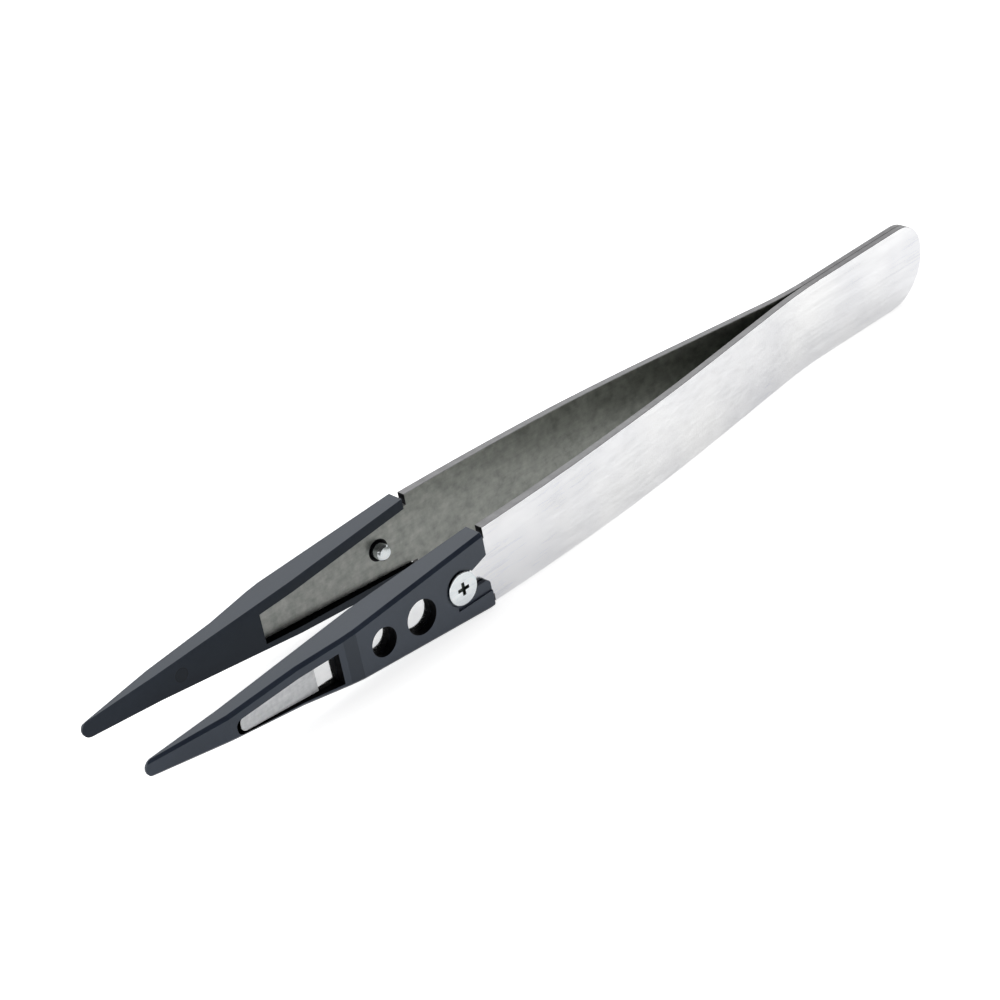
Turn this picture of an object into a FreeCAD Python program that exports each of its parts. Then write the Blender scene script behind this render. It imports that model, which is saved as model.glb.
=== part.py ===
# Tweezers with two spring-steel arms and two replaceable plastic tips.
# Every piece is drawn with X as the distance from the points towards the heel, Y as the distance
# from the mirror plane between the arms, and Z as the height above the middle of the blades. The
# placement of each body then centres the length and sets the lower blade edges on the ground.
import FreeCAD, Part
import Sketcher
import math
import os

# Driving dimensions in millimetres and degrees
DIMENSIONS = {
    # steel arm seen from above, as distances from the mirror plane
    "overall_length": 129.05,
    "heel_thickness": 0.85,
    "bend_thickness": 1.0,
    "blade_thickness": 1.25,
    "spread_angle": 8.4,
    "heel_bend_radius": 60.0,
    "bow_start": 86.65,
    "bow_start_offset": 3.72,
    "tongue_offset": 7.4,
    # steel arm seen from the side
    "blade_half_width": 5.05,
    "heel_top_start": 103.0,
    "heel_top_height": 5.52,
    "heel_bottom_start": 110.0,
    "heel_bottom_height": 4.82,
    "heel_top_radius": 3.7,
    "heel_end_straight": 0.3,
    "widening_end": 70.65,
    "shoulder_start": 46.65,
    "shoulder_half_width": 4.8,
    "tongue_rear_top": 3.45,
    "tongue_rear_bottom": 3.8,
    "tongue_nose": 11.15,
    "tongue_nose_top": 0.3,
    "tongue_nose_bottom": 1.35,
    "tongue_nose_radius": 0.7,
    "blade_edge_radius": 0.08,
    # plastic tip seen from above, as depths inside and covers outside the tongue's outer face
    "tip_shoulder_gap": 0.8,
    "tip_end_depth": 1.7,
    "tip_end_thickness": 0.3,
    "tip_inner_bend": 14.65,
    "tip_inner_bend_depth": 1.96,
    "tip_waist": 28.65,
    "tip_waist_depth": 2.36,
    "tip_rear_depth": 1.86,
    "tip_rear_cover": 0.78,
    "tip_shoulder": 26.55,
    "tip_shoulder_cover": 1.38,
    "tip_crest_lead": 1.7,
    "tip_crest_cover": 1.26,
    "tip_ramp": 19.05,
    "tip_ramp_cover": 0.5,
    "tip_neck_lead": 1.3,
    "tip_neck_cover": 0.2,
    # plastic tip seen from the side
    "tip_end_half_width": 0.98,
    "tip_end_straight": 0.98,
    "tip_neck_half_width": 1.56,
    "tip_shoulder_half_width": 3.16,
    "tip_rear_half_width": 4.8,
    "tip_lower_extra": 0.12,
    "tip_bevel": 0.4,
    "tip_end_bevel": 0.28,
    "tip_corner_radius": 0.65,
    # room for the steel tongue inside the tip
    "tongue_side_clearance": 0.1,
    "tongue_face_clearance": 0.04,
    "tongue_bow_clearance": 0.15,
    "tongue_nose_clearance": 0.6,
    "window_corner_radius": 0.8,
    "inner_opening_lead": 0.1,
    "window_wall": 0.8,
    # holes and screw seat in the outer plate of the tip
    "small_hole_spacing": 5.55,
    "small_hole_radius": 1.73,
    "large_hole_spacing": 6.1,
    "large_hole_radius": 2.08,
    "hole_drop": 0.3,
    "screw_setback": 4.2,
    "seat_clearance": 0.2,
    "seat_step": 2.6,
    "slot_clearance": 0.15,
    "slot_flare_lead": 1.6,
    "slot_flare": 2.0,
    # screw
    "screw_radius": 1.0,
    "screw_head_radius": 2.0,
    "screw_head_thickness": 0.6,
    "screw_seat_cover": 0.6,
    "screw_head_edge_radius": 0.12,
    "screw_end_proud": 1.3,
    "screw_end_chamfer": 0.25,
    "thread_clearance": 0.02,
    "thread_hole_countersink": 0.35,
    "cross_half_length": 0.8,
    "cross_half_width": 0.22,
    "cross_depth": 0.45,
    "cutting_margin": 2.0,
}

# Places along the part from the point, and distances from the mirror plane, that follow from the sizes
FORMULAS = {
    "tip_rear": "shoulder_start - tip_shoulder_gap",
    "tip_crest": "tip_shoulder - tip_crest_lead",
    "tip_neck": "tongue_nose - tip_neck_lead",
    "tip_end_inner": "tongue_offset - tip_end_depth",
    "tip_end_outer": "tip_end_inner + tip_end_thickness",
    "tip_inner_bend_offset": "tongue_offset - tip_inner_bend_depth",
    "tip_waist_offset": "tongue_offset - tip_waist_depth",
    "tip_rear_inner": "tongue_offset - tip_rear_depth",
    "tip_rear_outer": "tongue_offset + tip_rear_cover",
    "tip_shoulder_offset": "tongue_offset + tip_shoulder_cover",
    "tip_crest_offset": "tongue_offset + tip_crest_cover",
    "tip_ramp_offset": "tongue_offset + tip_ramp_cover",
    "tip_neck_offset": "tongue_offset + tip_neck_cover",
    "window_rear": "tip_crest - window_wall",
    "inner_opening_start": "window_rear - inner_opening_lead",
    "screw_place": "tip_rear - screw_setback",
    "slot_flare_start": "screw_place + slot_flare_lead",
    "large_hole_place": "screw_place - large_hole_spacing",
    "small_hole_place": "large_hole_place - small_hole_spacing",
    "screw_head_top": "tongue_offset + screw_seat_cover + screw_head_thickness",
    "screw_end_offset": "tongue_offset - blade_thickness - screw_end_proud",
}

NEAR = -1
FAR = 1

os.makedirs("parts", exist_ok=True)
doc = FreeCAD.newDocument("tweezers")
sheet = doc.addObject("Spreadsheet::Sheet", "Dimensions")
for row, (alias, size) in enumerate(DIMENSIONS.items(), start=1):
    sheet.set(f"A{row}", alias.replace("_", " "))
    sheet.set(f"B{row}", str(size))
    sheet.setAlias(f"B{row}", alias)
doc.recompute()


def cell(formula):
    """Write out the named formulas in a formula, and prefix each alias so that it reads the sheet."""
    words = [f"( {cell(FORMULAS[word])} )" if word in FORMULAS else word for word in formula.split()]
    return " ".join(f"Dimensions.{word}" if word in DIMENSIONS else word for word in words)


def number(formula):
    """Work out a formula of aliases as a plain number."""
    result = sheet.evalExpression(cell(formula))
    return float(getattr(result, "Value", result))


def place(corner):
    """Turn a pair of formulas into a sketch point."""
    across, up = corner
    return FreeCAD.Vector(number(across), number(up), 0)


def away(side, formula):
    """Give the Y of a distance from the mirror plane on the near or the far side."""
    return formula if side == FAR else f"- ( {formula} )"


def add_body(name):
    """Make a body whose placement centres the length and lifts the blades onto the ground."""
    body = doc.addObject("PartDesign::Body", name)
    body.Label = name
    body.setExpression("Placement.Base.x", cell("- overall_length / 2"))
    body.setExpression("Placement.Base.z", cell("blade_half_width"))
    return body


def add_sketch(body, name, role, offset=None):
    """Attach a sketch to one of the body's own origin planes, moved along its normal."""
    sketch = body.newObject("Sketcher::SketchObject", name)
    plane = next(feature for feature in body.Origin.OriginFeatures if feature.Role == role)
    sketch.AttachmentSupport = [(plane, "")]
    sketch.MapMode = "FlatFace"
    if offset:
        sketch.setExpression("AttachmentOffset.Base.z", cell(offset))
    return sketch


def bind(sketch, constraint, name, formula):
    """Add a dimension constraint and tie it to a formula of the sheet."""
    index = sketch.addConstraint(constraint)
    sketch.renameConstraint(index, name)
    sketch.setExpression(f"Constraints.{name}", cell(formula))


def bind_point(sketch, edge, end, name, corner):
    """Tie both coordinates of a sketch point to formulas of the sheet."""
    point = place(corner)
    bind(sketch, Sketcher.Constraint("DistanceX", -1, 1, edge, end, point.x), f"{name}_x", corner[0])
    bind(sketch, Sketcher.Constraint("DistanceY", -1, 1, edge, end, point.y), f"{name}_y", corner[1])


def join(sketch, kind, edge, end, other, point):
    """Join an edge's end to whichever end of another edge lies at the same point."""
    shape = sketch.Geometry[other]
    at_start = (shape.StartPoint - point).Length < (shape.EndPoint - point).Length
    sketch.addConstraint(Sketcher.Constraint(kind, edge, end, other, 1 if at_start else 2))


def draw_polygon(sketch, name, corners):
    """Draw a closed outline of straight edges through pairs of formulas."""
    points = [place(corner) for corner in corners]
    edges = []
    for start, end in zip(points, points[1:] + points[:1]):
        edges.append(sketch.addGeometry(Part.LineSegment(start, end), False))
    for edge, following in zip(edges, edges[1:] + edges[:1]):
        sketch.addConstraint(Sketcher.Constraint("Coincident", edge, 2, following, 1))
    for i, corner in enumerate(corners):
        bind_point(sketch, edges[i], 1, f"{name}{i}", corner)


def draw_circle(sketch, name, centre, radius):
    """Draw a circle with its centre and radius tied to the sheet."""
    circle = Part.Circle(place(centre), FreeCAD.Vector(0, 0, 1), number(radius))
    edge = sketch.addGeometry(circle, False)
    bind_point(sketch, edge, 3, name, centre)
    bind(sketch, Sketcher.Constraint("Radius", edge, number(radius)), f"{name}_radius", radius)


def draw_round_end(sketch, name, corners):
    """Draw a closed outline whose last corner runs to its first by a round end.

    The round end leaves the outline's first edge without a corner.
    """
    points = [place(corner) for corner in corners]
    edges = [sketch.addGeometry(Part.LineSegment(a, b), False) for a, b in zip(points, points[1:])]
    for edge, following in zip(edges, edges[1:]):
        sketch.addConstraint(Sketcher.Constraint("Coincident", edge, 2, following, 1))
    bind_point(sketch, edges[0], 1, f"{name}0", corners[0])
    for i, edge in enumerate(edges, start=1):
        bind_point(sketch, edge, 2, f"{name}{i}", corners[i])
    outwards = (points[0] - points[1]).normalize()
    bulge = outwards * ((points[0] - points[-1]).Length / 2)
    middle = (points[0] + points[-1]) * 0.5 + bulge
    turns_left = (points[1] - points[0]).cross(points[-1] - points[0]).z > 0
    arc_ends = (points[-1], points[0]) if turns_left else (points[0], points[-1])
    end = sketch.addGeometry(Part.Arc(arc_ends[0], middle, arc_ends[1]), False)
    join(sketch, "Tangent", edges[0], 1, end, points[0])
    join(sketch, "Coincident", edges[-1], 2, end, points[-1])


def pad_across(body, name, sketch):
    """Pad a view from above equally up and down, to more than the blade's width."""
    pad = body.newObject("PartDesign::Pad", name)
    pad.Profile = sketch
    pad.Midplane = True
    pad.setExpression("Length", cell("2 * ( blade_half_width + cutting_margin )"))
    sketch.Visibility = False


def trim_to_side_view(body, name, draw_outline):
    """Cut away all that lies outside a side view outline."""
    sketch = add_sketch(body, f"{name}Sketch", "XZ_Plane")
    front = "- 2 * cutting_margin"
    rear = "overall_length + cutting_margin"
    top = "blade_half_width + 2 * cutting_margin"
    bottom = "- blade_half_width - 2 * cutting_margin"
    draw_polygon(sketch, "frame", [(front, bottom), (rear, bottom), (rear, top), (front, top)])
    draw_outline(sketch)
    pocket = body.newObject("PartDesign::Pocket", name)
    pocket.Profile = sketch
    pocket.Midplane = True
    pocket.setExpression("Length", cell("4 * tip_shoulder_offset"))
    sketch.Visibility = False


def cut_between(body, name, side, outer, inner, draw_outline):
    """Cut a side view outline out of a piece between two distances from the mirror plane."""
    sketch = add_sketch(body, f"{name}Sketch", "XZ_Plane", away(-side, outer))
    draw_outline(sketch)
    pocket = body.newObject("PartDesign::Pocket", name)
    pocket.Profile = sketch
    pocket.Reversed = side == FAR
    pocket.setExpression("Length", cell(f"{outer} - ( {inner} )"))
    sketch.Visibility = False


def edge_names(body, keep):
    """Name the edges of a body's present shape whose ends and middle pass a test."""
    doc.recompute()
    names = []
    for index, edge in enumerate(body.Tip.Shape.Edges, start=1):
        middle = edge.valueAt((edge.FirstParameter + edge.LastParameter) / 2)
        ends = [vertex.Point for vertex in edge.Vertexes]
        if keep(middle, ends):
            names.append(f"Edge{index}")
    return names


def dress_edges(body, kind, name, names, size):
    """Round or bevel named edges of a body's present shape by a size from the sheet."""
    base = body.Tip
    feature = body.newObject(f"PartDesign::{kind}", name)
    feature.Base = (base, names)
    feature.setExpression("Radius" if kind == "Fillet" else "Size", cell(size))
    doc.recompute()


# Steel arm

def draw_arm_face(sketch, side, name, heel_offset, bow_offset, tongue_offset):
    """Draw one long face of the bowed strip, to beyond the heel and the nose of its tongue.

    From the heel the face runs straight, bends out by the spread angle, runs straight to the bow
    and turns back parallel to the mirror plane at the tongue.
    """
    spread = math.radians(number("spread_angle"))
    rise = FreeCAD.Vector(-math.cos(spread), side * math.sin(spread), 0)
    forward = FreeCAD.Vector(-1, 0, 0)
    heel_corner = ("overall_length + cutting_margin", away(side, heel_offset))
    bow_corner = ("bow_start", away(side, bow_offset))
    nose_corner = ("tongue_nose - cutting_margin", away(side, tongue_offset))
    heel, bow, nose = place(heel_corner), place(bow_corner), place(nose_corner)
    bend_corner = bow - rise * ((bow.y - heel.y) / rise.y)
    bend_reach = number("heel_bend_radius") * math.tan(spread / 2)
    bend_start, bend_end = bend_corner - forward * bend_reach, bend_corner + rise * bend_reach
    bow_radius = (nose.y - bow.y) * side / (1 - math.cos(spread))
    bow_end = FreeCAD.Vector(bow.x - bow_radius * math.sin(spread), nose.y, 0)
    heel_line = sketch.addGeometry(Part.LineSegment(heel, bend_start), False)
    bend = sketch.addGeometry(arc_between(bend_start, bend_end, forward), False)
    rise_line = sketch.addGeometry(Part.LineSegment(bow, bend_end), False)
    bow_arc = sketch.addGeometry(arc_between(bow, bow_end, rise), False)
    tongue_line = sketch.addGeometry(Part.LineSegment(bow_end, nose), False)
    join(sketch, "Tangent", heel_line, 2, bend, bend_start)
    join(sketch, "Tangent", rise_line, 2, bend, bend_end)
    join(sketch, "Tangent", rise_line, 1, bow_arc, bow)
    join(sketch, "Tangent", tongue_line, 1, bow_arc, bow_end)
    sketch.addConstraint(Sketcher.Constraint("Horizontal", heel_line))
    sketch.addConstraint(Sketcher.Constraint("Horizontal", tongue_line))
    bind_point(sketch, heel_line, 1, f"{name}_heel", heel_corner)
    bind_point(sketch, rise_line, 1, f"{name}_bow", bow_corner)
    bind_point(sketch, tongue_line, 2, f"{name}_nose", nose_corner)
    bend_size = Sketcher.Constraint("Radius", bend, number("heel_bend_radius"))
    bind(sketch, bend_size, f"{name}_bend_radius", "heel_bend_radius")
    lean = away(-side, "spread_angle")
    bind(sketch, Sketcher.Constraint("Angle", rise_line, -side * spread), f"{name}_spread", lean)
    return heel_line, tongue_line


def arc_between(start, end, direction):
    """Make the arc that leaves its start in a given direction, drawn anticlockwise."""
    chord = end - start
    left = FreeCAD.Vector(-direction.y, direction.x, 0).normalize()
    radius = chord.dot(chord) / (2 * chord.dot(left))
    centre = start + left * radius
    outwards = ((start + end) * 0.5 - centre).normalize()
    middle = centre + outwards * abs(radius)
    return Part.Arc(start, middle, end) if radius > 0 else Part.Arc(end, middle, start)


def draw_arm_side(sketch):
    """Draw the blade from the side: the heel, then the widening down to the shoulders and the tongue."""
    corners = [("overall_length", "heel_top_height"), ("heel_top_start", "blade_half_width"),
               ("widening_end", "blade_half_width"),
               ("shoulder_start", "shoulder_half_width"), ("shoulder_start", "tongue_rear_top"),
               ("tongue_nose", "tongue_nose_top"), ("tongue_nose", "- tongue_nose_bottom"),
               ("shoulder_start", "- tongue_rear_bottom"), ("shoulder_start", "- shoulder_half_width"),
               ("widening_end", "- blade_half_width"), ("heel_bottom_start", "- blade_half_width"),
               ("overall_length", "- heel_bottom_height")]
    draw_polygon(sketch, "blade", corners)


def build_arm(name, side):
    """Build a flat spring arm: the bowed strip, trimmed to the blade's side view."""
    body = add_body(name)
    plan = add_sketch(body, f"{name}_plan", "XY_Plane")
    outer = draw_arm_face(plan, side, "outer", "heel_thickness", "bow_start_offset", "tongue_offset")
    inner = draw_arm_face(plan, side, "inner", "0",
                          "bow_start_offset - bend_thickness", "tongue_offset - blade_thickness")
    for outer_edge, inner_edge, end in zip(outer, inner, (1, 2)):
        start, finish = plan.getPoint(outer_edge, end), plan.getPoint(inner_edge, end)
        cap = plan.addGeometry(Part.LineSegment(start, finish), False)
        plan.addConstraint(Sketcher.Constraint("Coincident", outer_edge, end, cap, 1))
        plan.addConstraint(Sketcher.Constraint("Coincident", inner_edge, end, cap, 2))
    pad_across(body, f"{name}_strip", plan)
    trim_to_side_view(body, f"{name}_blade", draw_arm_side)
    cut_between(body, f"{name}_thread_hole", side, "tongue_offset + cutting_margin",
                "tongue_offset - blade_thickness - cutting_margin",
                lambda sketch: draw_circle(sketch, "hole", ("screw_place", "0"),
                                           "screw_radius + thread_clearance"))

    def on_hole_mouth(middle, ends):
        across = math.hypot(middle.x - number("screw_place"), middle.z)
        inside = abs(middle.y) < number("tongue_offset - blade_thickness / 2")
        return across < number("screw_radius + thread_hole_countersink") and inside

    def on_heel_top(middle, ends):
        upright = abs(ends[0].y - ends[-1].y) > number("heel_thickness") / 2
        return upright and middle.x > number("overall_length - heel_thickness") and middle.z > 0

    def on_heel_bottom(middle, ends):
        upright = abs(ends[0].y - ends[-1].y) > number("heel_thickness") / 2
        return upright and middle.x > number("overall_length - heel_thickness") and middle.z < 0

    def on_nose(middle, ends):
        upright = abs(ends[0].y - ends[-1].y) > number("blade_thickness") / 2
        return upright and middle.x < number("tongue_nose + tongue_nose_radius")

    def on_long_edge(middle, ends):
        behind = min(end.x for end in ends) > number("shoulder_start - tongue_nose_radius")
        along = abs(ends[0].x - ends[-1].x) > number("2 * blade_thickness")
        return behind and along

    dress_edges(body, "Chamfer", f"{name}_countersink", edge_names(body, on_hole_mouth),
                "thread_hole_countersink")
    dress_edges(body, "Fillet", f"{name}_nose", edge_names(body, on_nose), "tongue_nose_radius")
    dress_edges(body, "Fillet", f"{name}_heel_top", edge_names(body, on_heel_top), "heel_top_radius")
    dress_edges(body, "Fillet", f"{name}_heel_bottom", edge_names(body, on_heel_bottom),
                "heel_top_height + heel_bottom_height - heel_top_radius - heel_end_straight")
    dress_edges(body, "Fillet", f"{name}_edges", edge_names(body, on_long_edge), "blade_edge_radius")
    return body


# Plastic tip

def draw_tip_plan(sketch, side):
    """Draw the tip from above: a thin point, the window's rails and the thick rear plate."""
    corners = [("0", "tip_end_inner"), ("tip_inner_bend", "tip_inner_bend_offset"),
               ("tip_waist", "tip_waist_offset"), ("tip_rear", "tip_rear_inner"),
               ("tip_rear", "tip_rear_outer"), ("tip_shoulder", "tip_shoulder_offset"),
               ("tip_crest", "tip_crest_offset"), ("tip_ramp", "tip_ramp_offset"),
               ("tip_neck", "tip_neck_offset"),
               ("0", "tip_end_outer")]
    draw_polygon(sketch, "plan", [(along, away(side, offset)) for along, offset in corners])


def draw_tip_side(sketch):
    """Draw the tip from the side: a round point that widens to the rear."""
    top = [("tip_end_straight", "tip_end_half_width"), ("tip_neck", "tip_neck_half_width"),
           ("tip_shoulder", "tip_shoulder_half_width"), ("tip_rear", "tip_rear_half_width"),
           ("tip_rear + cutting_margin", "tip_rear_half_width")]
    bottom = [(along, f"- {height} - tip_lower_extra") for along, height in reversed(top)]
    draw_round_end(sketch, "side", top + bottom)


def half_width_at(along, front, rear):
    """Give the tip's half width at a distance from the point, on the line between two named places."""
    places = {"tip_end": "tip_end_straight"}
    start, end = places.get(front, front), places.get(rear, rear)
    rise = f"( {rear}_half_width - {front}_half_width ) / ( {end} - {start} )"
    return f"{front}_half_width + ( {along} - {start} ) * {rise}"


def bevel_outer_edge(body, name, side, upwards):
    """Bevel the upper or lower outer edge, from the point to the rear, by a loft through its corners."""
    corners = [("0", "tip_end_outer", half_width_at("0", "tip_end", "tip_neck"), "tip_end_bevel"),
               ("tip_neck", "tip_neck_offset", "tip_neck_half_width", "tip_bevel"),
               ("tip_ramp", "tip_ramp_offset", half_width_at("tip_ramp", "tip_neck", "tip_shoulder"),
                "tip_bevel"),
               ("tip_crest", "tip_crest_offset", half_width_at("tip_crest", "tip_neck", "tip_shoulder"),
                "tip_bevel"),
               ("tip_shoulder", "tip_shoulder_offset", "tip_shoulder_half_width", "tip_bevel"),
               ("tip_rear", "tip_rear_outer", "tip_rear_half_width", "tip_bevel")]
    sections = []
    for i, (along, outwards, half_width, bevel) in enumerate(corners):
        section = add_sketch(body, f"{name}{i}", "YZ_Plane", along)
        height = half_width if upwards else f"{half_width} + tip_lower_extra"
        beyond = away(side, f"{outwards} + {bevel}")
        triangle = [(away(side, f"{outwards} - 2 * {bevel}"), f"{height} + {bevel}"),
                    (beyond, f"{height} + {bevel}"), (beyond, f"{height} - 2 * {bevel}")]
        draw_polygon(section, "bevel", [(y, z if upwards else f"- ( {z} )") for y, z in triangle])
        section.Visibility = False
        sections.append(section)
    loft = body.newObject("PartDesign::SubtractiveLoft", name)
    loft.Profile = sections[0]
    loft.Sections = sections[1:]
    loft.Ruled = True


def room_edge(side, along):
    """Give the height of the tongue room's upper or lower wall at a distance from the point."""
    nose, rear = f"tongue_nose_{side}", f"tongue_rear_{side}"
    share = f"( {along} - tongue_nose ) / ( shoulder_start - tongue_nose )"
    return f"{nose} + ( {rear} - {nose} ) * {share} + tongue_side_clearance"


def draw_room(sketch, front, rear):
    """Draw the side view of the tongue's room between two distances from the point."""
    top = [(along, room_edge("top", along)) for along in (front, rear)]
    bottom = [(along, f"- ( {room_edge('bottom', along)} )") for along in (rear, front)]
    draw_polygon(sketch, "room", top + bottom)


def draw_lower_seat(sketch):
    """Draw the seat's way out to the rear, over the lower prong."""
    rear = "tip_rear + cutting_margin"
    front = "screw_place - screw_radius"
    draw_polygon(sketch, "way", [(front, "0"), (rear, "0"),
                                 (rear, "- seat_step"), (front, "- seat_step")])


def draw_slot(sketch):
    """Draw the slot for the screw's shank, flared upwards where it leaves the rear end."""
    half = "( screw_radius + slot_clearance )"
    rear = "tip_rear + cutting_margin"
    slope = f"( slot_flare - {half} ) / ( tip_rear - slot_flare_start )"
    flare = f"{half} + ( {rear} - slot_flare_start ) * {slope}"
    corners = [("screw_place", half), ("slot_flare_start", half), (rear, flare), (rear, f"- {half}"),
               ("screw_place", f"- {half}")]
    draw_round_end(sketch, "slot", corners)


def build_tip(name, side):
    """Build a plastic tip: plate outside and open inside at the rear, the other way round in front."""
    body = add_body(name)
    plan = add_sketch(body, f"{name}_plan", "XY_Plane")
    draw_tip_plan(plan, side)
    pad_across(body, f"{name}_block", plan)
    trim_to_side_view(body, f"{name}_outline", draw_tip_side)
    bevel_outer_edge(body, f"{name}_upper_bevel", side, True)
    bevel_outer_edge(body, f"{name}_lower_bevel", side, False)

    def on_rear(middle, ends):
        along_y = abs(ends[0].z - ends[-1].z) < number("tip_bevel") / 2
        return along_y and min(end.x for end in ends) > number("tip_rear - tip_bevel")

    def on_lower_corner(middle, ends):
        return on_rear(middle, ends) and middle.z < number("- tip_rear_half_width")

    def on_tab_corner(middle, ends):
        at_slot = abs(middle.z + number("screw_radius + slot_clearance")) < number("slot_clearance")
        return on_rear(middle, ends) and at_slot

    dress_edges(body, "Fillet", f"{name}_lower_corner", edge_names(body, on_lower_corner),
                "tip_corner_radius")
    steel_outer = "tongue_offset + tongue_face_clearance"
    steel_inner = "tongue_offset - blade_thickness - tongue_bow_clearance"
    plate_outer = "tip_shoulder_offset + cutting_margin"
    window_front = "tongue_nose - tongue_nose_clearance"
    cut_between(body, f"{name}_room", side, steel_outer, steel_inner,
                lambda sketch: draw_room(sketch, window_front, "shoulder_start"))
    cut_between(body, f"{name}_inner_opening", side, steel_outer, "tip_waist_offset - cutting_margin",
                lambda sketch: draw_room(sketch, "inner_opening_start", "shoulder_start"))
    cut_between(body, f"{name}_window", side, plate_outer, steel_inner,
                lambda sketch: draw_room(sketch, window_front, "window_rear"))

    def on_window_corner(middle, ends):
        upright = abs(ends[0].y - ends[-1].y) > number("blade_thickness") / 2
        inside = abs(middle.z) < number("tip_neck_half_width")
        return upright and inside and abs(middle.x - number(window_front)) < number("tongue_side_clearance")

    dress_edges(body, "Fillet", f"{name}_window_corners", edge_names(body, on_window_corner),
                "window_corner_radius")
    for hole in ("small_hole", "large_hole"):
        cut_between(body, f"{name}_{hole}", side, plate_outer, steel_inner,
                    lambda sketch: draw_circle(sketch, hole, (f"{hole}_place", "- hole_drop"),
                                               f"{hole}_radius"))
    seat = "screw_head_top - screw_head_thickness"
    cut_between(body, f"{name}_screw_seat", side, plate_outer, seat,
                lambda sketch: draw_circle(sketch, "seat", ("screw_place", "0"),
                                           "screw_head_radius + seat_clearance"))
    cut_between(body, f"{name}_lower_seat", side, plate_outer, seat, draw_lower_seat)
    cut_between(body, f"{name}_screw_slot", side, plate_outer, steel_inner, draw_slot)
    dress_edges(body, "Fillet", f"{name}_tab_corner", edge_names(body, on_tab_corner),
                "tip_corner_radius")
    return body


# Screw

def build_screw(name, side):
    """Build a cross-head screw: a thin wide head, a shank and a chamfered end."""
    body = add_body(name)
    profile = add_sketch(body, f"{name}_profile", "XY_Plane")
    shank = "screw_place + screw_radius"
    head = "screw_place + screw_head_radius"
    corners = [("screw_place", "screw_end_offset"), (f"{shank} - screw_end_chamfer", "screw_end_offset"),
               (shank, "screw_end_offset + screw_end_chamfer"),
               (shank, "screw_head_top - screw_head_thickness"),
               (head, "screw_head_top - screw_head_thickness"), (head, "screw_head_top"),
               ("screw_place", "screw_head_top")]
    draw_polygon(profile, "profile", [(along, away(side, offset)) for along, offset in corners])
    axis = profile.addGeometry(Part.LineSegment(profile.getPoint(6, 1), profile.getPoint(0, 1)), True)
    profile.addConstraint(Sketcher.Constraint("Coincident", axis, 1, 6, 1))
    profile.addConstraint(Sketcher.Constraint("Coincident", axis, 2, 0, 1))
    turned = body.newObject("PartDesign::Revolution", f"{name}_turned")
    turned.Profile = profile
    turned.ReferenceAxis = (profile, ["Axis0"])
    turned.Angle = 360
    profile.Visibility = False
    cut_between(body, f"{name}_cross", side, "screw_head_top + cutting_margin",
                "screw_head_top - cross_depth", draw_cross)
    head_top = number("screw_head_top")
    head_radius = number("screw_head_radius")
    tolerance = number("screw_head_edge_radius") / 2

    def on_head_edge(middle, ends):
        around = abs(math.hypot(middle.x - number("screw_place"), middle.z) - head_radius) < tolerance
        return around and abs(abs(middle.y) - head_top) < tolerance

    dress_edges(body, "Fillet", f"{name}_head_edge", edge_names(body, on_head_edge),
                "screw_head_edge_radius")
    return body


def draw_cross(sketch):
    """Draw the cross recess of the screw head."""
    arm, half = "cross_half_length", "cross_half_width"
    quarter = [(arm, half), (half, half), (half, arm)]
    corners = []
    for along_sign, up_sign, turn in (("", "", 1), ("-", "", -1), ("-", "-", 1), ("", "-", -1)):
        for along, up in quarter[::turn]:
            corners.append((f"screw_place + {along_sign} {along}", f"{up_sign} {up}"))
    draw_polygon(sketch, "cross", corners)


PIECES = (
    build_arm("arm_near", NEAR),
    build_arm("arm_far", FAR),
    build_tip("tip_near", NEAR),
    build_tip("tip_far", FAR),
    build_screw("screw_near", NEAR),
    build_screw("screw_far", FAR),
)
doc.recompute()

for item in doc.Objects:
    if any(state in item.State for state in ("Invalid", "Error")):
        raise RuntimeError(f"{item.Name} doesn't recompute")
for piece in PIECES:
    if piece.Shape.isNull() or not piece.Shape.isValid() or len(piece.Shape.Solids) != 1:
        raise RuntimeError(f"{piece.Label} isn't one sound solid")
for piece in PIECES:
    piece.Shape.exportStep(f"parts/{piece.Label}.step")
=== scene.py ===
import math

import bmesh
import bpy
from mathutils import Matrix, Vector
from mathutils.bvhtree import BVHTree


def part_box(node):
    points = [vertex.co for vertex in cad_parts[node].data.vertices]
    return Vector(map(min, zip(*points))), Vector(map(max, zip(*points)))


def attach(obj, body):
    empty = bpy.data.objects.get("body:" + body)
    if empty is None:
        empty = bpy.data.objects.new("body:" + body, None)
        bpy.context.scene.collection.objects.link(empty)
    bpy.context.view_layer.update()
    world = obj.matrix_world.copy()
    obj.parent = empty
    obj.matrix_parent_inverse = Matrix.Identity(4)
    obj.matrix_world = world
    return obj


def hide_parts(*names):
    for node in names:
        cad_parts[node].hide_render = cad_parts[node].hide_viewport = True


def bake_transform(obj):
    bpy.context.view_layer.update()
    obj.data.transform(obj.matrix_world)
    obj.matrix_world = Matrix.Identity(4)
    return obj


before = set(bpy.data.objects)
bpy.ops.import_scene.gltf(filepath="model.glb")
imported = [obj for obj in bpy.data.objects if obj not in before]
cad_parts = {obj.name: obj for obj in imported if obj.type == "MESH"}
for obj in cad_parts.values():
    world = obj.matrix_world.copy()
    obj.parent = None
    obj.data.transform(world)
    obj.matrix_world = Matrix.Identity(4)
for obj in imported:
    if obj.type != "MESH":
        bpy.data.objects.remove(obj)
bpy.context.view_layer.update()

# One millimetre in scene units. The lengths below are in millimetres and the angles in degrees, x runs
# from the points towards the heel with 0 in the middle, and the near side is the one of negative y.
MM = 0.001
SIDES = (("near", -1), ("far", 1))
BLADE_MIDDLE = 5.05

# The far arm has crosswise cuts between these places, one each millimetre.
BEND_CUTS_START = 47
BEND_CUTS = 38
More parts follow.
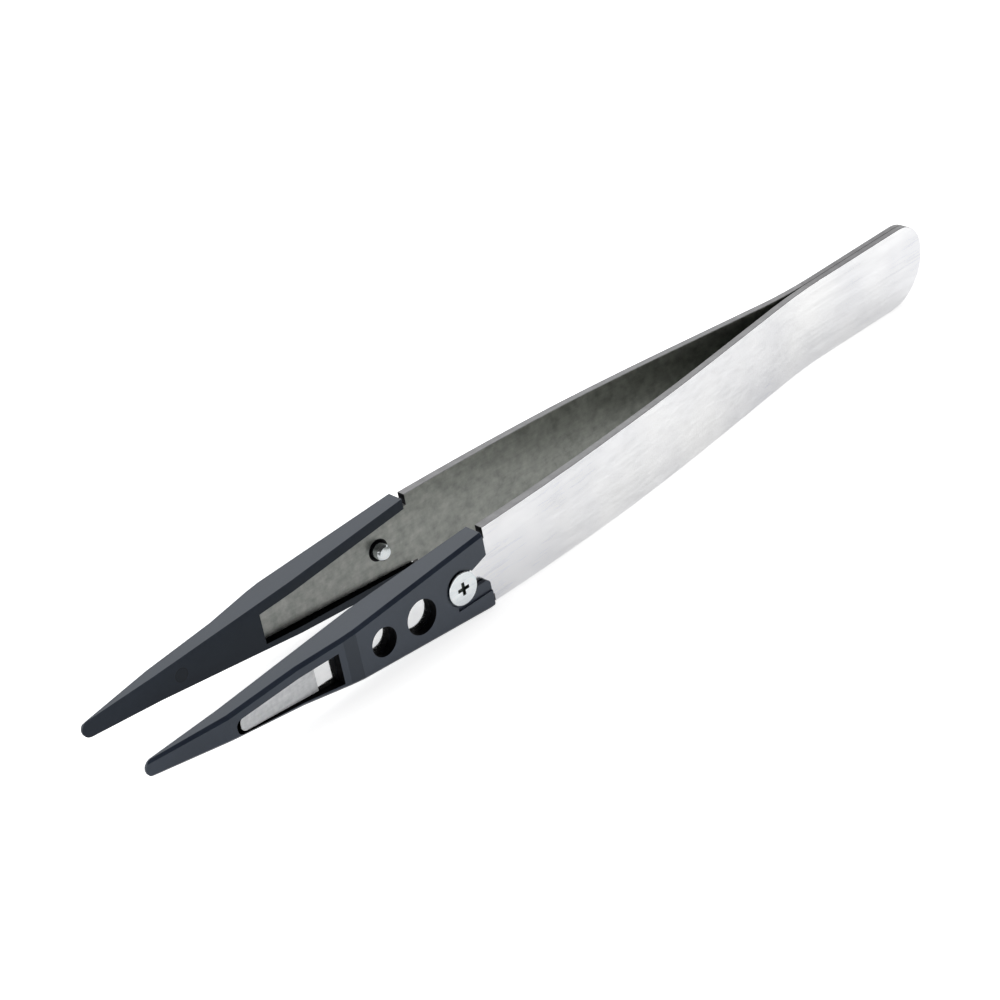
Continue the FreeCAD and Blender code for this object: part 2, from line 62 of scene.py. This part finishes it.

# Places along the arms: the threaded hole and the room round it, whose wall gets painted black shade, the
# front of the weld, where the heel's painted shade begins, the rear of the tongue's matt front with its
# painted shade, the place in front of which forward-looking faces are cut ends with painted black shade,
# and the stretch over which the inner face's painted shade goes from its lighter front to its darker rear.
THREAD_HOLE = -22.875
THREAD_HOLE_ROOM = 1.5
WELD_START = 43.5
BLASTED_END = -43.2
SHADED_ENDS = -15
INSIDE_SHADE_FADE = (-32.0, 6.0)

# Places along the tips: where the window's walls with painted black shade begin, the slope where the outer
# plate begins, which gets painted shade, the slot's mouth beside the screw, in front of which recesses get
# painted black shade, and the x and z of the ejector's mark.
WINDOW_WALLS = -50
STEP_START = -39.675
STEP_END = -37.975
SLOT_MOUTH = -21.8
MARK = (-51.6, 4.95)

# A wall of a recess, which gets painted black shade, sees its own piece within this reach, looking from
# just above its surface. A face that is turned out lies this far from the blade's middle and looks away
# from it.
SIGHT = 16
SIGHT_START = 0.01
TURNED_OUT = 0.5

# The cross recess, which gets painted shade: its radius, and its depths below the top of the screw's head.
RECESS_RADIUS = 0.95
RECESS_DEPTHS = (0.02, 0.5)

# Shares of a normal along an axis, for faces that look roughly or squarely along it.
LEANING = 0.3
FACING = 0.7
WELD_FACING = 0.85
SQUARELY = 0.9

# Meshes: points that are one, angles of flat and of sharp edges, the area in square millimetres of a
# large face, and the widths of the rounded edges.
SAME_POINT = 0.002
FLAT_ANGLE = 1.0
ARM_FLAT_ANGLE = 0.3
KINK_ANGLE = 1.5
SHARP_ANGLE = 35
ARM_SHARP_ANGLE = 50
BEVEL_ANGLE = 28
LARGE_FACE = 1.5
TIP_ROUND = 0.1
SCREW_ROUND = 0.05

# Textures: the scales of the noises, and the depths of their relief. The steel's marks run along x.
STREAK_SCALE = (110, 2600, 2600)
BRUSHED_SCALE = (300, 9000, 9000)
STEEL_GRAIN_SCALE = 9000
PLASTIC_CLOUD_SCALE = 180
PLASTIC_GRAIN_SCALE = 6000
STEEL_RELIEF = 0.01
PLASTIC_RELIEF = 0.02
MARK_RELIEF = 0.05

# The parts of a noise over which the colour, the roughness and the streaks change.
STEEL_CLOUDS = (0.32, 0.68)
CLOUDS = (0.3, 0.7)
STREAKS = (0.34, 0.62)

# The plastic's sheen, and the ejector's mark as shares of a reach with their brightness: a disc and a
# rim that painted shade darkens, the rim more.
PLASTIC_IOR = 1.52
PLASTIC_TINT = (0.86, 0.94, 1.0, 1)
MARK_REACH = 2
MARK_RINGS = ((0.0, 0.62), (0.36, 0.62), (0.4, 0.3), (0.44, 1.0))

# The floor, in metres: half its side, its brightness for the camera, and a glow that only reflected rays
# see, a painted reflection in the steel. The glow rises along x, and ends along a slanted line behind the
# far arm.
FLOOR_REACH = 3.0
FLOOR_BRIGHTNESS = 0.78
GLOW_RISE = (-0.055, -0.030)
GLOW_LEVELS = (0.28, 0.54)
GLOW_SLANT = 0.104
GLOW_END = (0.0056, 0.0085)

# The light tent: where it gets brighter towards the back and darker above the horizon, and how bright.
BACK_RISE = (-0.25, 0.45)
BACK_LEVELS = (0.05, 1.35)
HORIZON_FADE = (0.12, 0.4)
HORIZON_LEVELS = (1.6, 0.0)

# The camera.
CAMERA_PLACE = (-163.505, -205.24, 153.70)
CAMERA_RIGHT = (0.7270, -0.6661, -0.1667)
CAMERA_FORWARD = (0.5214, 0.6935, -0.4973)
CAMERA_LENS = 93.33
CAMERA_SENSOR = 36.0
CAMERA_CLIP = (0.01, 20.0)


# Node helpers.
def new_material(name):
    """Make a material, and give it with its nodes, its links and its shader."""
    mat = bpy.data.materials.new(name)
    mat.use_nodes = True
    nodes = mat.node_tree.nodes
    return mat, nodes, mat.node_tree.links, nodes["Principled BSDF"]


def node(nodes, kind, **settings):
    """Add a node with its settings."""
    made = nodes.new(kind)
    for key, value in settings.items():
        setattr(made, key, value)
    return made


def noise(nodes, links, vector, scale, detail, roughness):
    """Add a noise over the vector's space."""
    made = node(nodes, "ShaderNodeTexNoise")
    made.inputs["Scale"].default_value = scale
    made.inputs["Detail"].default_value = detail
    made.inputs["Roughness"].default_value = roughness
    links.new(vector, made.inputs["Vector"])
    return made.outputs["Fac"]


def stretched(nodes, links, vector, scale):
    """Scale a vector differently along each axis."""
    made = node(nodes, "ShaderNodeMapping")
    made.inputs["Scale"].default_value = scale
    links.new(vector, made.inputs["Vector"])
    return made.outputs["Vector"]


def coordinates(nodes, links, vector):
    """Split a vector into its X, Y and Z."""
    made = node(nodes, "ShaderNodeSeparateXYZ")
    links.new(vector, made.inputs["Vector"])
    return made.outputs


def ramp(nodes, links, value, stops):
    """Turn a value into colours, from pairs of a place and a colour."""
    made = node(nodes, "ShaderNodeValToRGB")
    elements = made.color_ramp.elements
    while len(elements) < len(stops):
        elements.new(0.5)
    for element, (place, colour) in zip(elements, stops):
        element.position = place
        element.color = (*colour, 1)
    links.new(value, made.inputs["Fac"])
    return made.outputs["Color"]


def span(nodes, links, value, given, wanted):
    """Turn the range given into the range wanted, and stay at its ends beyond it."""
    made = node(nodes, "ShaderNodeMapRange")
    made.inputs["From Min"].default_value, made.inputs["From Max"].default_value = given
    made.inputs["To Min"].default_value, made.inputs["To Max"].default_value = wanted
    links.new(value, made.inputs["Value"])
    return made.outputs["Result"]


def mixed(nodes, links, first, second, share):
    """Go from the first colour to the second with the share."""
    made = node(nodes, "ShaderNodeMix", data_type="RGBA")
    links.new(share, made.inputs["Factor"])
    links.new(first, made.inputs[6])
    links.new(second, made.inputs[7])
    return made.outputs[2]


def multiplied(nodes, links, first, second):
    """Multiply two colours."""
    made = node(nodes, "ShaderNodeMix", data_type="RGBA", blend_type="MULTIPLY")
    made.inputs["Factor"].default_value = 1.0
    links.new(first, made.inputs[6])
    links.new(second, made.inputs[7])
    return made.outputs[2]


def calculate(nodes, links, operation, first, second):
    """Join two values by an operation."""
    made = node(nodes, "ShaderNodeMath", operation=operation)
    links.new(first, made.inputs[0])
    links.new(second, made.inputs[1])
    return made.outputs["Value"]


def bump(nodes, links, height, strength, distance, normal=None):
    """Raise the surface by a height, on top of another relief where one is given."""
    made = node(nodes, "ShaderNodeBump")
    made.inputs["Strength"].default_value = strength
    made.inputs["Distance"].default_value = distance * MM
    links.new(height, made.inputs["Height"])
    if normal:
        links.new(normal, made.inputs["Normal"])
    return made.outputs["Normal"]


# Materials.
def steel(name, dull, bright, rough, cloud=260, relief=0.2, metallic=1.0, tongue=None, streak=0.08):
    """Brushed steel: cloudy in colour and gloss, with fine marks along the blade.

    Where a tongue is given, as its dull and bright colour and its metallic share, the steel looks like
    that in front, and fades into its own look behind; on the inner faces both are painted shade, lighter in
    front and darker towards the heel.
    """
    mat, nodes, links, shader = new_material(name)
    place = node(nodes, "ShaderNodeTexCoord").outputs["Object"]
    shader.inputs["Metallic"].default_value = metallic
    cloudy = noise(nodes, links, place, cloud, detail=5, roughness=0.6)
    colour = ramp(nodes, links, cloudy, list(zip(STEEL_CLOUDS, (dull, bright))))
    if tongue:
        tongue_dull, tongue_bright, tongue_metallic = tongue
        along = coordinates(nodes, links, place)["X"]
        share = span(nodes, links, along, [end * MM for end in INSIDE_SHADE_FADE], (0, 1))
        front = ramp(nodes, links, cloudy, list(zip(STEEL_CLOUDS, (tongue_dull, tongue_bright))))
        colour = mixed(nodes, links, front, colour, share)
        links.new(span(nodes, links, share, (0, 1), (tongue_metallic, metallic)), shader.inputs["Metallic"])
    drawn_out = stretched(nodes, links, place, STREAK_SCALE)
    streaks = noise(nodes, links, drawn_out, 1.0, detail=3, roughness=0.7)
    lines = ramp(nodes, links, streaks, list(zip(STREAKS, ((1 - streak,) * 3, (1, 1, 1)))))
    links.new(multiplied(nodes, links, colour, lines), shader.inputs["Base Color"])
    links.new(span(nodes, links, cloudy, CLOUDS, rough), shader.inputs["Roughness"])
    grain = noise(nodes, links, place, STEEL_GRAIN_SCALE, detail=2, roughness=0.6)
    drawn_out = stretched(nodes, links, place, BRUSHED_SCALE)
    brushed = noise(nodes, links, drawn_out, 1.0, detail=2, roughness=0.6)
    first = bump(nodes, links, grain, relief, STEEL_RELIEF)
    links.new(bump(nodes, links, brushed, relief, STEEL_RELIEF, first), shader.inputs["Normal"])
    return mat


def moulded_plastic(name, dark, pale, rough, gloss, mark=None):
    """Satin moulded plastic: a fine spark-eroded grain and slightly uneven gloss.

    Where a mark's x and z are given, it also has the round, shallow mark of an ejector, with painted shade
    darkening its disc and rim.
    """
    mat, nodes, links, shader = new_material(name)
    place = node(nodes, "ShaderNodeTexCoord").outputs["Object"]
    cloudy = noise(nodes, links, place, PLASTIC_CLOUD_SCALE, detail=4, roughness=0.6)
    colour = ramp(nodes, links, cloudy, list(zip(CLOUDS, (dark, pale))))
    links.new(span(nodes, links, cloudy, CLOUDS, rough), shader.inputs["Roughness"])
    shader.inputs["IOR"].default_value = PLASTIC_IOR
    shader.inputs["Specular IOR Level"].default_value = gloss
    shader.inputs["Specular Tint"].default_value = PLASTIC_TINT
    grain = noise(nodes, links, place, PLASTIC_GRAIN_SCALE, detail=2, roughness=0.6)
    relief = bump(nodes, links, grain, 0.25, PLASTIC_RELIEF)
    if mark:
        away = node(nodes, "ShaderNodeVectorMath", operation="DISTANCE")
        links.new(stretched(nodes, links, place, (1, 0, 1)), away.inputs[0])
        away.inputs[1].default_value = (mark[0] * MM, 0, mark[1] * MM)
        reached = span(nodes, links, away.outputs["Value"], (0, MARK_REACH * MM), (0, 1))
        # Painted shade: the mark's disc and its rim darkened, the rim more, besides its bump.
        disc = ramp(nodes, links, reached, [(ring, (grey,) * 3) for ring, grey in MARK_RINGS])
        colour = multiplied(nodes, links, colour, disc)
        relief = bump(nodes, links, disc, 0.4, MARK_RELIEF, relief)
    links.new(colour, shader.inputs["Base Color"])
    links.new(relief, shader.inputs["Normal"])
    return mat


STEEL_FACE = steel("steel_face", (0.79, 0.795, 0.82), (0.96, 0.96, 0.96), (0.19, 0.27), cloud=75,
                   streak=0.13)
# Painted shade: the inner faces darker than the outer, lighter in front and darker towards the heel.
STEEL_INSIDE_SHADED = steel("steel_inside_painted_shade", (0.25, 0.26, 0.24), (0.40, 0.41, 0.38), (0.34, 0.44), cloud=800,
                     tongue=((0.33, 0.345, 0.325), (0.57, 0.58, 0.55), 0.5), streak=0.1)
# Painted shade: the top and bottom edges, a satin steel with a much darker colour than the faces.
STEEL_EDGE_SHADED = steel("steel_edge_painted_shade", (0.20, 0.20, 0.205), (0.29, 0.29, 0.295), (0.38, 0.48), cloud=700)
# Painted shade: the heel's edges and end darker still, where the arms meet.
STEEL_HEEL_SHADED = steel("steel_heel_painted_shade", (0.14, 0.14, 0.145), (0.23, 0.23, 0.235), (0.34, 0.44), cloud=700)
# Painted black shade: the ends that face the points, and the wall of the threaded hole.
STEEL_BLACK_SHADE = steel("steel_painted_black_shade", (0.008, 0.008, 0.01), (0.02, 0.02, 0.022), (0.4, 0.5))
# Matt and blasted, and painted shade: the tongue's front darker than its bright rear.
STEEL_BLASTED_AND_SHADED = steel("steel_blasted_and_shaded", (0.64, 0.655, 0.67), (0.80, 0.81, 0.825), (0.34, 0.42), cloud=1600,
                      metallic=0.4)
STEEL_TONGUE = steel("steel_tongue", (0.82, 0.83, 0.84), (0.93, 0.93, 0.93), (0.07, 0.13), cloud=700,
                     relief=0.04)
SCREW_STEEL = steel("screw_steel", (0.68, 0.72, 0.735), (0.80, 0.835, 0.85), (0.14, 0.2), cloud=900,
                    relief=0.1)
# Painted shade: the screw's cross recess darker than its head.
RECESS_PAINTED_SHADE = steel("recess_painted_shade", (0.06, 0.075, 0.065), (0.2, 0.22, 0.2), (0.35, 0.45), cloud=1500)
PLASTIC = moulded_plastic("moulded_plastic", (0.017, 0.023, 0.039), (0.028, 0.037, 0.058),
                          (0.28, 0.36), gloss=0.62)
# Painted shade: the slope where the outer plate begins, darker than the plate.
PLASTIC_STEP_SHADED = moulded_plastic("plastic_step_painted_shade", (0.011, 0.015, 0.026), (0.018, 0.024, 0.038),
                               (0.3, 0.4), gloss=0.5)
# A duller gloss on the gripping faces, and painted shade: a slightly darker colour between the tips.
PLASTIC_INSIDE_SHADED = moulded_plastic("plastic_inside_painted_shade", (0.014, 0.020, 0.033), (0.022, 0.030, 0.046),
                                 (0.34, 0.42), gloss=0.3, mark=MARK)
# Painted black shade: the walls of the recesses and of the window.
PLASTIC_BLACK_SHADE = moulded_plastic("plastic_painted_black_shade", (0.001, 0.001, 0.0015), (0.002, 0.002, 0.003),
                               (0.6, 0.7), gloss=0.05)

TIP_LOOKS = [PLASTIC, PLASTIC_INSIDE_SHADED, PLASTIC_BLACK_SHADE, PLASTIC_STEP_SHADED]
ARM_LOOKS = [STEEL_FACE, STEEL_INSIDE_SHADED, STEEL_EDGE_SHADED, STEEL_BLACK_SHADE, STEEL_HEEL_SHADED, STEEL_BLASTED_AND_SHADED, STEEL_TONGUE]
SCREW_LOOKS = [SCREW_STEEL, RECESS_PAINTED_SHADE]


# Mesh helpers.
def copy_of(node_name, piece_name, looks):
    """Copy a CAD node's mesh into a piece that stands for it."""
    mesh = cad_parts[node_name].data.copy()
    mesh.name = piece_name
    mesh.materials.clear()
    for mat in looks:
        mesh.materials.append(mat)
    piece = bpy.data.objects.new(piece_name, mesh)
    bpy.context.scene.collection.objects.link(piece)
    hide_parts(node_name)
    return piece


def opened(piece):
    """Open a piece's mesh for work on its faces."""
    work = bmesh.new()
    work.from_mesh(piece.data)
    return work


def put_back(work, piece):
    """Write the work back into the piece's mesh."""
    work.to_mesh(piece.data)
    work.free()


def clean(work, angle):
    """Weld the copied mesh and join the faces that lie in one plane."""
    bmesh.ops.remove_doubles(work, verts=work.verts, dist=SAME_POINT * MM)
    bmesh.ops.dissolve_limit(work, angle_limit=math.radians(angle), verts=work.verts, edges=work.edges)


def cut_across(work, place):
    """Cut the faces crosswise at a place along x."""
    bmesh.ops.bisect_plane(work, geom=work.verts[:] + work.edges[:] + work.faces[:],
                           plane_co=(place * MM, 0, 0), plane_no=(1, 0, 0))


def soften(piece, width, segments):
    """Round the piece's sharp edges as real geometry."""
    made = piece.modifiers.new("round_edges", "BEVEL")
    made.width = width * MM
    made.segments = segments
    made.limit_method = "ANGLE"
    made.angle_limit = math.radians(BEVEL_ANGLE)
    made.harden_normals = True
    made.miter_outer = "MITER_ARC"


def shade(piece, angle):
    """Shade the piece smoothly between sharp edges, with normals that follow its large faces."""
    piece.data.shade_smooth()
    piece.data.set_sharp_from_angle(angle=math.radians(angle))
    made = piece.modifiers.new("even_normals", "WEIGHTED_NORMAL")
    made.mode = "FACE_AREA"
    made.weight = 100
    made.keep_sharp = True


def is_shut_in(tree, face):
    """Tell whether a face looks at another face of its own piece."""
    start = face.calc_center_median() + face.normal * (SIGHT_START * MM)
    return tree.ray_cast(start, face.normal, SIGHT * MM)[3] is not None


def is_crease(edge):
    """Tell whether an edge is sharp, or a slight kink between two large faces."""
    areas = [face.calc_area() for face in edge.link_faces]
    large = len(areas) == 2 and min(areas) > LARGE_FACE * MM ** 2
    kink = large and edge.calc_face_angle() > math.radians(KINK_ANGLE)
    return kink or edge.calc_face_angle(0) >= math.radians(SHARP_ANGLE)


# The rules by which a face gets its material. The side of the piece is given as the sign of its outer y.
def tip_look(face, outwards, tree):
    """Painted black shade in the recesses, painted shade on the outer plate's slope, and inside duller with
    painted shade.
    """
    middle = face.calc_center_median()
    turned_out = face.normal.z * (middle.z - BLADE_MIDDLE * MM) > TURNED_OUT * MM
    wall_of_recess = abs(face.normal.y) < FACING and is_shut_in(tree, face) and not turned_out
    wall_of_window = face.normal.x < -FACING and middle.x > WINDOW_WALLS * MM
    if (wall_of_recess or wall_of_window) and middle.x < SLOT_MOUTH * MM:
        return PLASTIC_BLACK_SHADE
    if face.normal.y * outwards > SQUARELY and STEP_START * MM < middle.x < STEP_END * MM:
        return PLASTIC_STEP_SHADED
    if face.normal.y * outwards < -FACING:
        return PLASTIC_INSIDE_SHADED
    return PLASTIC


def arm_look(face, outwards):
    """Painted black shade at cut ends and hole, painted shade at heel, satin edges, inside, matt front;
    bright outside.
    """
    normal, middle = face.normal, face.calc_center_median()
    from_hole = math.hypot(middle.x - THREAD_HOLE * MM, middle.z - BLADE_MIDDLE * MM)
    wall_of_hole = from_hole < THREAD_HOLE_ROOM * MM and abs(normal.y) < SQUARELY
    if normal.x < -FACING and middle.x < SHADED_ENDS * MM or wall_of_hole:
        return STEEL_BLACK_SHADE
    if middle.x > WELD_START * MM and abs(normal.y) < WELD_FACING:
        return STEEL_HEEL_SHADED
    if abs(normal.z) > FACING:
        return STEEL_EDGE_SHADED
    if normal.y * outwards < -LEANING:
        return STEEL_INSIDE_SHADED
    if middle.x < BLASTED_END * MM:
        return STEEL_BLASTED_AND_SHADED
    if middle.x < SLOT_MOUTH * MM:
        return STEEL_TONGUE
    return STEEL_FACE


def screw_look(face, centre, head_top):
    """Painted shade in the cross recess, and bright elsewhere."""
    middle = face.calc_center_median()
    across = math.hypot(middle.x - centre.x, middle.z - centre.z)
    below = abs(middle.y - head_top)
    recessed = RECESS_DEPTHS[0] * MM < below < RECESS_DEPTHS[1] * MM
    return RECESS_PAINTED_SHADE if across < RECESS_RADIUS * MM and recessed else SCREW_STEEL


# The tips: moulded pieces with small rounds on their edges, with painted black shade in their recesses.
for side, outwards in SIDES:
    tip = copy_of(f"tip_{side}", f"tip_{side}_moulded", TIP_LOOKS)
    work = opened(tip)
    clean(work, FLAT_ANGLE)
    work.normal_update()
    tree = BVHTree.FromBMesh(work)
    for face in work.faces:
        face.material_index = TIP_LOOKS.index(tip_look(face, outwards, tree))
        face.smooth = True
    for edge in work.edges:
        edge.smooth = not is_crease(edge)
    put_back(work, tip)
    soften(tip, TIP_ROUND, segments=3)
    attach(tip, f"{side}_side")

# The steel arms: bright outside, with painted shade inside, at the heel, on the satin edges and on the
# matt front, and painted black shade at the cut ends. The far one has crosswise cuts between its middle
# and the weld.
for side, outwards in SIDES:
    arm = copy_of(f"arm_{side}", f"arm_{side}_strip", ARM_LOOKS)
    work = opened(arm)
    clean(work, ARM_FLAT_ANGLE)
    cut_across(work, BLASTED_END)
    cut_across(work, WELD_START)
    if side == "far":
        for step in range(BEND_CUTS):
            cut_across(work, BEND_CUTS_START - step)
    for face in work.faces:
        face.material_index = ARM_LOOKS.index(arm_look(face, outwards))
    put_back(work, arm)
    shade(arm, ARM_SHARP_ANGLE)
    if side == "far":
        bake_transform(arm)
    else:
        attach(arm, "near_side")

# The screws: a bright head with painted shade in its cross recess.
for side, outwards in SIDES:
    screw = copy_of(f"screw_{side}", f"screw_{side}_turned", SCREW_LOOKS)
    low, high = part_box(f"screw_{side}")
    head_top = high[1] if outwards > 0 else low[1]
    centre = (Vector(low) + Vector(high)) / 2
    work = opened(screw)
    clean(work, FLAT_ANGLE)
    for face in work.faces:
        face.material_index = SCREW_LOOKS.index(screw_look(face, centre, head_top))
    put_back(work, screw)
    shade(screw, SHARP_ANGLE)
    soften(screw, SCREW_ROUND, segments=2)
    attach(screw, f"{side}_side")

# Stage. The camera sees the floor in one brightness, and the steel mirrors its glow, a painted reflection.
floor_mesh = bpy.data.meshes.new("floor")
floor_mesh.from_pydata([(-FLOOR_REACH, -FLOOR_REACH, 0), (FLOOR_REACH, -FLOOR_REACH, 0),
                        (FLOOR_REACH, FLOOR_REACH, 0), (-FLOOR_REACH, FLOOR_REACH, 0)], [],
                       [(0, 1, 2, 3)])
floor = bpy.data.objects.new("floor", floor_mesh)
bpy.context.scene.collection.objects.link(floor)
mat, nodes, links, shader = new_material("floor_white")
shader.inputs["Base Color"].default_value = (0.9, 0.9, 0.9, 1)
shader.inputs["Roughness"].default_value = 0.9
shader.inputs["Specular IOR Level"].default_value = 0.0
path = node(nodes, "ShaderNodeLightPath")
to_camera = span(nodes, links, path.outputs["Is Camera Ray"], (0, 1), (0, FLOOR_BRIGHTNESS))
mirrored = calculate(nodes, links, "MAXIMUM", path.outputs["Is Glossy Ray"],
                     path.outputs["Is Transmission Ray"])
place = coordinates(nodes, links, node(nodes, "ShaderNodeTexCoord").outputs["Object"])
slanted = node(nodes, "ShaderNodeMath", operation="MULTIPLY_ADD")
links.new(place["X"], slanted.inputs[0])
slanted.inputs[1].default_value = GLOW_SLANT
links.new(place["Y"], slanted.inputs[2])
risen = span(nodes, links, place["X"], GLOW_RISE, GLOW_LEVELS)
ended = span(nodes, links, slanted.outputs["Value"], GLOW_END, (1.0, 0.0))
# Painted reflection: a glow only for reflected rays, rising along x and ending behind the far arm.
glow = calculate(nodes, links, "MULTIPLY", calculate(nodes, links, "MULTIPLY", mirrored, risen), ended)
shader.inputs["Emission Color"].default_value = (1, 1, 1, 1)
links.new(calculate(nodes, links, "MAXIMUM", to_camera, glow), shader.inputs["Emission Strength"])
floor_mesh.materials.append(mat)

# A light tent: bright at the back and along the horizon, dark on the camera's side.
world = bpy.data.worlds.new("studio")
bpy.context.scene.world = world
world.use_nodes = True
nodes, links = world.node_tree.nodes, world.node_tree.links
background = nodes["Background"]
direction = coordinates(nodes, links, node(nodes, "ShaderNodeTexCoord").outputs["Generated"])
backwards = span(nodes, links, direction["Y"], BACK_RISE, BACK_LEVELS)
horizon = span(nodes, links, direction["Z"], HORIZON_FADE, HORIZON_LEVELS)
path = node(nodes, "ShaderNodeLightPath")
level = node(nodes, "ShaderNodeMix", data_type="FLOAT")
links.new(path.outputs["Is Camera Ray"], level.inputs["Factor"])
links.new(calculate(nodes, links, "MAXIMUM", backwards, horizon), level.inputs["A"])
level.inputs["B"].default_value = 1.0
background.inputs["Color"].default_value = (1, 1, 1, 1)
links.new(level.outputs["Result"], background.inputs["Strength"])

# Camera.
camera_data = bpy.data.cameras.new("camera")
camera = bpy.data.objects.new("camera", camera_data)
bpy.context.scene.collection.objects.link(camera)
right = Vector(CAMERA_RIGHT).normalized()
forward = Vector(CAMERA_FORWARD).normalized()
up = right.cross(forward).normalized()
right = forward.cross(up).normalized()
turn = Matrix((right, up, -forward)).transposed().to_4x4()
camera.matrix_world = Matrix.Translation(Vector(CAMERA_PLACE) * MM) @ turn
camera_data.sensor_width = CAMERA_SENSOR
camera_data.lens = CAMERA_LENS
camera_data.clip_start, camera_data.clip_end = CAMERA_CLIP
bpy.context.scene.camera = camera

bpy.context.scene.view_settings.view_transform = "Standard"
